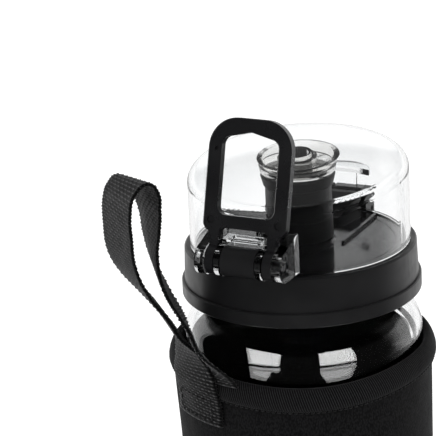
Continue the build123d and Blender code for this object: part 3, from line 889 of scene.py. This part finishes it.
@dataclass
class PaddedBase:
    """The round foam bottom of the sleeve."""

    radius: float = 37.2 * MM
    thickness: float = 2.4 * MM
    edge: float = 0.9 * MM
    panel: float = 30.0 * MM

    def build(self) -> Piece:
        """Model the disc, its rounded edge and the sewn ring on its underside."""
        Bench.start()
        bpy.ops.mesh.primitive_cylinder_add(
            vertices=128,
            radius=self.radius,
            depth=self.thickness,
            location=(0.0, 0.0, self.thickness / 2),
        )
        base = Bench.name_it("sleeve_base_foam")
        Bench.settle(base)
        Bench.edit()
        bpy.ops.mesh.select_mode(type="EDGE")
        bpy.ops.mesh.select_all(action="DESELECT")
        Bench.leave()
        for line in base.data.edges:
            ends = [base.data.vertices[i].co.z for i in line.vertices]
            line.select = abs(ends[0] - ends[1]) < 0.1 * MM
        Bench.edit()
        bpy.ops.mesh.bevel(offset=self.edge, segments=4, affect="EDGES")
        for low_side in (True, False):
            self.ring_seam(base, low_side)
        Bench.face_out(base)
        return base

    def ring_seam(self, base: Piece, low_side: bool) -> None:
        """Sink a sewn ring into one flat side, and close its middle in smaller steps.

        Args:
            base: The disc.
            low_side: Work on the underside.
        """
        facing = -1.0 if low_side else 1.0
        Bench.choose_faces(
            base,
            lambda face: face.normal.z * facing > 0.99 and len(face.vertices) > 100,
        )
        flat_radius = self.radius - self.edge
        bpy.ops.mesh.inset(thickness=flat_radius - self.panel)
        for width, sink in ((0.4, 0.35), (0.4, -0.35)):
            bpy.ops.mesh.inset(thickness=width * MM)
            bpy.ops.transform.translate(value=(0.0, 0.0, -facing * sink * MM))
        for _ in range(4):
            bpy.ops.mesh.inset(thickness=6.0 * MM)
        bpy.ops.mesh.poke()
        Bench.leave()

    def dress(self, base: Piece) -> None:
        sew_on(base, Finish.SLEEVE, "sleeve_base")


@dataclass
class RibbedBinding:
    """Folded ribbed tape round an edge of the sleeve."""

    name: str
    node: str
    profile: Sequence[Point]
    ribs: int = 344
    rib_height: float = 0.2 * MM
    lean_ribs: int = 8

    def build(self) -> Piece:
        """Model the folded tape, with a rib on every second column."""
        ring = Bench.turned(
            self.name,
            [(r * MM, z * MM) for r, z in self.profile],
            2 * self.ribs,
            twist=self.lean_ribs * 2 * math.pi / self.ribs,
            crests=True,
        )
        Bench.raise_crests(ring, self.rib_height)
        # The marks set the tape's colour: painted shade in the furrows between ribs,
        # lighter on the ribs.
        Bench.mark_raised(
            ring, lambda index: float(bool(ring.data.vertices[index].groups))
        )
        Mouth().shape(ring)
        return ring

    def dress(self, ring: Piece) -> None:
        """Finish and place the tape."""
        sew_on(ring, Finish.TAPE, self.node)


@dataclass
class BindingStitches:
    """Row of lockstitches under the top binding."""

    radius: float = 38.05 * MM
    height: float = 189.3 * MM
    count: int = 150
    stitch: Stitch = Stitch(1.15 * MM, 0.5 * MM)

    def build(self) -> Piece:
        """Model one stitch and lay it all the way round."""
        places = [
            upright_place(2 * math.pi * i / self.count, self.radius, self.height, 0.12)
            for i in range(self.count)
        ]
        row = Bench.lay_copies(self.stitch.model(), places, "binding_stitches")
        Mouth().shape(row)
        return row

    def dress(self, row: Piece) -> None:
        """Finish and place the stitches."""
        sew_on(row, Finish.THREAD, "binding_stitching")


@dataclass
class SideSeam:
    """Flat seam down the back of the sleeve, sewn over with zigzag thread."""

    half_width: float = 3.0 * MM
    radius: float = 37.65 * MM
    low: float = 6.4 * MM
    high: float = 189.0 * MM
    zigzags: int = 76
    thread: float = 0.34 * MM

    def build(self) -> Piece:
        """Model the tape and its zigzag, joined as one piece."""
        tape = self.tape()
        zigzag = self.zigzag()
        Bench.pick(tape)
        zigzag.select_set(True)
        bpy.ops.object.join()
        seam = Bench.name_it("side_seam_zigzag")
        Mouth().shape(seam)
        return seam

    def tape(self) -> Piece:
        """Model the flat tape, crowned and with a butt line down its middle."""
        Bench.start()
        bpy.ops.mesh.primitive_grid_add(
            x_subdivisions=12,
            y_subdivisions=60,
            size=1.0,
            location=(0.0, self.radius, (self.low + self.high) / 2),
            rotation=(math.pi / 2, 0.0, math.pi),
        )
        tape = Bench.name_it("seam_tape")
        tape.scale = (2 * self.half_width, self.high - self.low, 1.0)
        Bench.settle(tape)
        Bench.edit()
        bpy.ops.mesh.select_all(action="SELECT")
        bpy.ops.mesh.extrude_region_move(
            TRANSFORM_OT_translate={"value": (0.0, 0.4 * MM, 0.0)}
        )
        Bench.leave()
        line = 0.3 * MM
        outer = self.radius + 0.2 * MM
        Bench.nudge(
            tape,
            lambda place: abs(place.x) < line and place.y > outer,
            (0.0, -0.25 * MM, 0.0),
        )
        for vertex in tape.data.vertices:
            sag = self.radius - math.sqrt(self.radius**2 - vertex.co.x**2)
            vertex.co.y -= sag
        Bench.face_out(tape)
        return tape

    def zigzag(self) -> Piece:
        """Lay slanted threads to and fro across the tape."""
        pitch = (self.high - self.low - 2 * MM) / self.zigzags
        reach = self.half_width * 1.5
        stitch = Stitch(math.hypot(reach, pitch), self.thread)
        lean = math.atan2(pitch, reach)
        places = []
        for i in range(self.zigzags):
            height = self.low + MM + pitch * (i + 0.5)
            roll = lean if i % 2 else -lean
            places.append(
                upright_place(math.pi / 2, self.radius + 0.42 * MM, height, roll)
            )
        return Bench.lay_copies(stitch.model(), places, "zigzag")

    def dress(self, seam: Piece) -> None:
        """Finish and place the seam."""
        sew_on(seam, Finish.SEAM, "sleeve_side_seam")


# ---------------------------------------------------------------
# Wrist loop
# ---------------------------------------------------------------

STRAP_ANGLE = math.radians(-125.0)
STRAP_OUT = Vector((math.cos(STRAP_ANGLE), math.sin(STRAP_ANGLE), 0.0))
STRAP_SIDE = Vector((-STRAP_OUT.y, STRAP_OUT.x, 0.0))


@dataclass
class WristLoop:
    """Woven webbing, sewn flat on the sleeve and looped up and back."""

    width: float = 20.0 * MM
    thickness: float = 0.9 * MM
    ends: int = 15
    pick: float = 1.0 * MM
    bump: float = 0.34 * MM
    sunk_share: float = 0.35
    groove: float = 0.16 * MM
    scallop: float = 0.3 * MM
    wrap_radius: float = 39.2 * MM
    wrap_low: float = 196.0 * MM
    wrap_high: float = 210.0 * MM
    path: Sequence[tuple[float, float, float, float]] = (
        (39.0, 182.5, 4.2, 0.0),
        (39.05, 187.0, 4.2, 0.0),
        (39.5, 190.8, 4.2, 0.0),
        (40.35, 194.4, 4.2, 0.0),
        (40.5, 198.5, 4.0, -2.0),
        (40.6, 202.0, 3.4, -6.0),
        (41.3, 206.5, 2.4, -11.0),
        (44.6, 212.3, 1.2, -13.0),
        (48.0, 218.2, 0.4, -11.0),
        (54.0, 226.0, 0.0, -6.0),
        (57.8, 234.2, 0.0, -4.0),
        (58.6, 243.4, 0.0, -4.0),
        (58.4, 250.0, 0.0, -5.0),
        (56.8, 254.6, 0.0, -7.0),
        (53.2, 256.8, 0.0, -7.0),
        (50.6, 254.4, 0.2, -3.0),
        (49.2, 249.3, 0.5, 6.0),
        (48.8, 243.7, 0.8, 12.0),
        (49.1, 237.2, 1.2, 17.0),
        (48.2, 230.4, 1.6, 20.0),
        (45.2, 221.8, 2.6, 21.0),
        (42.8, 214.5, 6.5, 22.0),
        (41.6, 209.0, 9.0, 20.0),
        (40.2, 203.5, 9.6, 12.0),
        (39.4, 199.5, 9.6, 5.0),
        (39.0, 196.0, 9.6, 0.0),
    )

    def build(self) -> Piece:
        """Weave a flat length, bend it along its path and wrap its foot."""
        line = self.centre_line()
        length = line.data.splines[0].calc_length()
        repeats = round(length / (2 * self.pick))
        strap = self.repeat(length / (2 * repeats))
        row = strap.modifiers.new("repeat", "ARRAY")
        row.count = repeats
        row.use_merge_vertices = True
        row.merge_threshold = 0.02 * MM
        Bench.finish_modifiers(strap)
        self.close_ends(strap, length)
        bend = strap.modifiers.new("bend", "CURVE")
        bend.object = line
        bend.deform_axis = "POS_X"
        Bench.finish_modifiers(strap)
        bpy.data.objects.remove(line)
        up = Vector((0.0, 0.0, 1.0))
        axes = Matrix((STRAP_OUT, up, STRAP_OUT.cross(up))).transposed()
        strap.matrix_world = axes.to_4x4()
        Bench.settle(strap)
        self.wrap(strap)
        Bench.face_out(strap)
        return strap

    def centre_line(self) -> Piece:
        """Draw the webbing's middle line, with its lean, near the XY plane."""
        curve = bpy.data.curves.new("strap_line", "CURVE")
        curve.dimensions = "3D"
        curve.twist_mode = "Z_UP"
        curve.resolution_u = 16
        spline = curve.splines.new("BEZIER")
        spline.bezier_points.add(len(self.path) - 1)
        for point, (out, height, side, lean) in zip(spline.bezier_points, self.path):
            point.co = (out * MM, height * MM, -side * MM)
            point.tilt = math.radians(lean)
            point.handle_left_type = "AUTO"
            point.handle_right_type = "AUTO"
        line = bpy.data.objects.new("strap_line", curve)
        bpy.context.scene.collection.objects.link(line)
        bpy.context.view_layer.update()
        return line

    def repeat(self, pick: float) -> Piece:
        """Model two rows of the weave across the full width, open at both cut ends.

        Args:
            pick: Height of one row.

        Returns:
            The repeat, along X, with its width along Z.
        """
        Bench.start()
        bpy.ops.mesh.primitive_grid_add(
            x_subdivisions=4, y_subdivisions=2 * self.ends, size=1.0
        )
        unit = Bench.name_it("wrist_webbing")
        unit.scale = (2 * pick, self.width, 1.0)
        unit.location = (pick, 0.0, self.thickness / 2)
        Bench.settle(unit)
        Bench.edit()
        bpy.ops.mesh.select_all(action="SELECT")
        bpy.ops.mesh.extrude_region_move(
            TRANSFORM_OT_translate={"value": (0.0, 0.0, -self.thickness)}
        )
        Bench.leave()
        self.open_cuts(unit, pick)
        end = self.width / self.ends
        for side in (1.0, -1.0):
            Bench.nudge(
                unit,
                lambda place: (
                    place.z * side > 0.0 and round(place.x / pick * 2) % 2 == 0
                ),
                (0.0, 0.0, -side * self.groove),
            )
            for up in (True, False):
                rise = self.bump if up else self.bump * self.sunk_share
                found = self.crossing(pick, end, side, up)
                Bench.nudge(unit, found, (0.0, 0.0, side * rise))
            Bench.nudge(
                unit,
                lambda place: (
                    place.y * side > self.width / 2 - 0.01 * MM
                    and round(place.x / pick * 2) % 2 == 1
                ),
                (0.0, side * self.scallop, 0.0),
            )
        low, high = self.thickness / 2 - self.groove, self.bump + self.groove

        def lift(index: int) -> float:
            """How far a point stands above the grooves, 0 to 1."""
            share = (abs(unit.data.vertices[index].co.z) - low) / high
            return math.sqrt(min(max(share, 0.0), 1.0))

        # These heights set the webbing's colour: painted shade in the grooves, lighter on
        # the raised crossings.
        Bench.mark_raised(unit, lift)
        unit.rotation_euler = (math.pi / 2, 0.0, 0.0)
        Bench.settle(unit)
        return unit

    def crossing(
        self, pick: float, end: float, side: float, up: bool
    ) -> Callable[[Vector], bool]:
        """A test for the crossings where the warp lies on top, or underneath.

        Args:
            pick: Height of one row.
            end: Width of one warp end.
            side: 1 for the top face, -1 for the underside.
            up: Find the crossings where the warp is on top.

        Returns:
            The test.
        """

        def found(place: Vector) -> bool:
            """Whether this point is the middle of such a crossing."""
            row = place.x / pick * 2
            column = (place.y + self.width / 2) / end * 2
            middle = round(row) % 2 == 1 and round(column) % 2 == 1
            even = (round(row) // 2 + round(column) // 2) % 2 == 0
            return place.z * side > 0.0 and middle and even == (up == (side > 0.0))

        return found

    def open_cuts(self, unit: Piece, pick: float) -> None:
        """Delete the walls at the repeat's two cut ends.

        Args:
            unit: The repeat.
            pick: Height of one row.
        """
        Bench.choose_faces(
            unit, lambda face: abs(face.center.x - pick) > 0.999 * pick
        )
        bpy.ops.mesh.delete(type="FACE")
        Bench.leave()

    def close_ends(self, strap: Piece, length: float) -> None:
        """Seal the two cut ends of the flat webbing.

        Args:
            strap: The flat webbing.
            length: Its length.
        """
        for cut in (0.0, length):
            Bench.choose(strap, lambda place: abs(place.x - cut) < 0.05 * MM)
            bpy.ops.mesh.edge_face_add()
            Bench.leave()

    def wrap(self, strap: Piece) -> None:
        """Curve the foot of the webbing round the sleeve.

        Args:
            strap: The bent webbing.
        """
        for vertex in strap.data.vertices:
            side = vertex.co.dot(STRAP_SIDE)
            sag = self.wrap_radius - math.sqrt(self.wrap_radius**2 - side**2)
            share = 1.0 - eased(vertex.co.z, self.wrap_low, self.wrap_high)
            vertex.co -= STRAP_OUT * sag * share

    def dress(self, strap: Piece) -> None:
        """Finish the webbing, and put it in place of the plain strap and its patch."""
        coat(strap, Finish.WEBBING)
        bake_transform(strap)
        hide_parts("wrist_strap", "strap_patch")


@dataclass
class PatchStitches:
    """Box of stitches that holds the webbing's foot on the sleeve."""

    half_width: float = 7.5 * MM
    aside: float = 4.2 * MM
    low: float = 183.9 * MM
    high: float = 190.4 * MM
    radius: float = 39.75 * MM
    stitch: Stitch = Stitch(1.9 * MM, 0.55 * MM)
    pitch: float = 2.3 * MM

    def build(self) -> Piece:
        """Model one stitch and lay it round the box."""
        places = []
        across = round(2 * self.half_width / self.pitch)
        for height in (self.low, self.high):
            for i in range(across):
                side = self.half_width * (2 * (i + 0.5) / across - 1.0)
                angle = STRAP_ANGLE + (self.aside + side) / self.radius
                places.append(upright_place(angle, self.reach(height), height, 0.1))
        upward = round((self.high - self.low) / self.pitch)
        for side in (-self.half_width, self.half_width):
            for i in range(upward):
                height = self.low + (self.high - self.low) * (i + 0.5) / upward
                angle = STRAP_ANGLE + (self.aside + side) / self.radius
                turned = math.pi / 2 + 0.1
                places.append(upright_place(angle, self.reach(height), height, turned))
        return Bench.lay_copies(self.stitch.model(), places, "patch_stitches")

    def reach(self, height: float) -> float:
        """Radius of the webbing's face at this height."""
        return self.radius + eased(height, 187.0 * MM, 194.0 * MM) * 1.1 * MM

    def dress(self, box: Piece) -> None:
        """Finish and place the stitches."""
        sew_on(box, Finish.THREAD, "strap_stitching")


# ---------------------------------------------------------------
# Studio
# ---------------------------------------------------------------


@dataclass(frozen=True)
class SoftBox:
    """One upright soft box, at its angle from the camera."""

    name: str
    azimuth: float
    distance: float
    width: float
    low: float
    high: float
    radiance: float
    only: Sequence[str] = ()

    @property
    def tall(self) -> float:
        """Height of its face."""
        return self.high - self.low

    @property
    def height(self) -> float:
        """Height of its middle above the floor."""
        return (self.high + self.low) / 2


BOTTLE_ONLY = ("bottle_body",)
BOXES = (
    SoftBox("left_high_box", -51.0, 0.45, 0.44, 0.16, 0.47, 8.0, BOTTLE_ONLY),
    SoftBox("right_high_box", 28.5, 0.45, 0.28, 0.16, 0.47, 8.0, BOTTLE_ONLY),
    SoftBox("left_low_box", -51.0, 0.45, 0.44, 0.02, 0.12, 4.0, BOTTLE_ONLY),
    SoftBox("right_low_box", 28.5, 0.45, 0.28, 0.02, 0.12, 4.0, BOTTLE_ONLY),
)


@dataclass
class Studio:
    """White surroundings, a pale floor, the soft boxes and the camera."""

    azimuth: float = 27.0
    elevation: float = 18.81
    roll: float = 2.79
    lens: float = 208.05
    distance: float = 736.4 * MM
    aim_height: float = 218.0 * MM
    aside: Point = (24.43 * MM, -15.71 * MM)
    front_level: float = 0.03
    back_level: float = 1.0
    wall_reach: Point = (-0.1, 0.35)
    wall_top: Point = (0.34, 0.46)
    ceiling_level: float = 0.12
    floor_paint: tuple[float, float, float, float] = (0.9, 0.9, 0.9, 1.0)
    floor_glow: float = 0.35

    def camera(self) -> None:
        """Make the camera at its angle, with its slight roll."""
        a, e = math.radians(self.azimuth), math.radians(self.elevation)
        right0 = Vector((math.cos(a), math.sin(a), 0.0))
        up0 = Vector(
            (-math.sin(a) * math.sin(e), math.cos(a) * math.sin(e), math.cos(e))
        )
        back = Vector(
            (math.sin(a) * math.cos(e), -math.cos(a) * math.cos(e), math.sin(e))
        )
        c, s = math.cos(math.radians(self.roll)), math.sin(math.radians(self.roll))
        right = c * right0 - s * up0
        up = s * right0 + c * up0
        lens = bpy.data.cameras.new("camera")
        lens.lens = self.lens
        lens.sensor_width = 36.0
        lens.clip_start = 0.05
        camera = bpy.data.objects.new("camera", lens)
        bpy.context.scene.collection.objects.link(camera)
        place = (
            Vector((0.0, 0.0, self.aim_height))
            - right * self.aside[0]
            - up * self.aside[1]
            + back * self.distance
        )
        camera.matrix_world = (
            Matrix.Translation(place)
            @ Matrix((right, up, back)).transposed().to_4x4()
        )
        bpy.context.scene.camera = camera

    def behind(self) -> Vector:
        """Level direction from the camera to the back of the studio."""
        a = math.radians(self.azimuth)
        return Vector((-math.sin(a), math.cos(a), 0.0))

    def shade_by_side(self, tree: bpy.types.NodeTree, place: Socket) -> Socket:
        """Brightness of the surroundings in mirrors: dark in front, pale behind.

        Args:
            tree: Node tree of the world or the floor.
            place: Direction or position.

        Returns:
            The brightness.
        """
        dot = add_node(tree, "VectorMath", {0: place, 1: self.behind()})
        dot.operation = "DOT_PRODUCT"
        levels = (self.front_level, self.back_level)
        return self.graded(tree, dot.outputs["Value"], self.wall_reach, levels)

    def graded(
        self, tree: bpy.types.NodeTree, value: Socket, ends: Point, levels: Point
    ) -> Socket:
        """Pass smoothly from one level to another.

        Args:
            tree: Node tree of the world or the floor.
            value: What the level depends on.
            ends: Values where the change starts and stops.
            levels: Levels there.

        Returns:
            The level.
        """
        values = {"Value": value, "From Min": ends[0], "From Max": ends[1]}
        outcome = {"To Min": levels[0], "To Max": levels[1]}
        grade = add_node(tree, "MapRange", values | outcome)
        grade.interpolation_type = "SMOOTHSTEP"
        return grade.outputs["Result"]

    def shade_by_height(self, tree: bpy.types.NodeTree, place: Socket) -> Socket:
        """Share of the back wall's brightness left at each height: none at the ceiling.

        Args:
            tree: Node tree of the world.
            place: Direction.

        Returns:
            The share.
        """
        split = add_node(tree, "SeparateXYZ", {"Vector": place})
        levels = (1.0, self.ceiling_level)
        return self.graded(tree, split.outputs["Z"], self.wall_top, levels)

    def seen_in_gloss(self, tree: bpy.types.NodeTree) -> Socket:
        """1 where a ray has come by way of a glossy surface, else 0."""
        path = add_node(tree, "LightPath", {})
        more = add_node(tree, "Math", {0: path.outputs["Glossy Depth"], 1: 0.5})
        more.operation = "GREATER_THAN"
        return more.outputs["Value"]

    def world(self) -> None:
        """White surroundings, seen by mirrors as a dim room with a pale back wall."""
        world = bpy.data.worlds.new("studio")
        world.use_nodes = True
        tree = world.node_tree
        tree.nodes.clear()
        place = add_node(tree, "TexCoord", {}).outputs["Generated"]
        sides = self.shade_by_side(tree, place)
        level = add_node(tree, "Math", {0: sides, 1: self.shade_by_height(tree, place)})
        level.operation = "MULTIPLY"
        white = (1.0, 1.0, 1.0, 1.0)
        paper = add_node(tree, "Background", {"Color": white})
        values = {"Color": white, "Strength": level.outputs["Value"]}
        room = add_node(tree, "Background", values)
        values = {
            "Fac": self.seen_in_gloss(tree),
            1: paper.outputs["Background"],
            2: room.outputs["Background"],
        }
        mix = add_node(tree, "MixShader", values)
        add_node(tree, "OutputWorld", {"Surface": mix.outputs["Shader"]})
        bpy.context.scene.world = world

    def floor(self) -> None:
        """Pale floor: one wide disc at the sleeve's foot."""
        Bench.start()
        bpy.ops.mesh.primitive_circle_add(vertices=96, radius=6.0, fill_type="NGON")
        floor = Bench.name_it("floor")
        floor.location.z = -0.05 * MM
        material = bpy.data.materials.new("pale_floor")
        material.use_nodes = True
        tree = material.node_tree
        tree.nodes.clear()
        place = add_node(tree, "TexCoord", {}).outputs["Object"]
        paint = add_node(tree, "BsdfDiffuse", {"Color": self.floor_paint})
        glow = add_node(tree, "Emission", {"Strength": self.floor_glow})
        values = {0: paint.outputs["BSDF"], 1: glow.outputs["Emission"]}
        lit = add_node(tree, "AddShader", values)
        sides = self.shade_by_side(tree, place)
        mirrored = add_node(tree, "Emission", {"Strength": sides})
        values = {
            "Fac": self.seen_in_gloss(tree),
            1: lit.outputs["Shader"],
            2: mirrored.outputs["Emission"],
        }
        mix = add_node(tree, "MixShader", values)
        add_node(tree, "OutputMaterial", {"Surface": mix.outputs["Shader"]})
        floor.data.materials.append(material)

    def soft_boxes(self) -> None:
        """Hang every soft box round the camera, unseen by it."""
        for box in BOXES:
            a = math.radians(self.azimuth + box.azimuth)
            out = Vector((math.sin(a), -math.cos(a), 0.0))
            light = bpy.data.lights.new(box.name, "AREA")
            light.shape = "RECTANGLE"
            light.size, light.size_y = box.width, box.tall
            light.energy = box.radiance * math.pi * box.width * box.tall
            lamp = bpy.data.objects.new(box.name, light)
            lamp.location = out * box.distance + Vector((0, 0, box.height))
            lamp.rotation_euler = out.to_track_quat("Z", "Y").to_euler()
            lamp.visible_camera = False
            bpy.context.scene.collection.objects.link(lamp)
            if box.only:
                lit = bpy.data.collections.new(box.name)
                for node in box.only:
                    lit.objects.link(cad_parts[node])
                lamp.light_linking.receiver_collection = lit

    def build(self) -> None:
        """Set the whole studio up."""
        bpy.context.scene.view_settings.view_transform = "Standard"
        self.camera()
        self.world()
        self.floor()
        self.soft_boxes()


# ---------------------------------------------------------------


TOP_FOLD = (
    (37.6, 189.55),
    (38.15, 190.0),
    (38.42, 190.9),
    (38.36, 192.1),
    (38.05, 193.4),
    (37.6, 194.6),
    (37.1, 195.5),
    (36.55, 196.1),
    (36.0, 196.1),
    (35.6, 195.5),
    (35.4, 194.3),
    (35.36, 192.6),
    (35.36, 190.8),
    (35.6, 189.9),
    (36.6, 189.5),
)
BOTTOM_FOLD = (
    (37.3, 6.4),
    (37.9, 6.3),
    (38.35, 5.8),
    (38.55, 4.8),
    (38.6, 3.6),
    (38.5, 2.2),
    (38.2, 1.1),
    (37.6, 0.4),
    (36.9, 0.25),
    (37.0, 1.4),
    (37.1, 3.2),
    (37.15, 5.2),
)


def main() -> None:
    """Build the studio and every piece, in order."""
    Studio().build()
    HardParts().dress()
    makers = (
        PaddedWall(),
        PaddedBase(),
        RibbedBinding("sleeve_top_tape", "sleeve_binding", TOP_FOLD),
        RibbedBinding("sleeve_foot_tape", "sleeve_base_binding", BOTTOM_FOLD),
        BindingStitches(),
        SideSeam(),
        WristLoop(),
        PatchStitches(),
    )
    for maker in makers:
        piece = maker.build()
        maker.dress(piece)
        log.info("%s has %d faces", piece.name, len(piece.data.polygons))


if __name__ == "__main__":
    main()
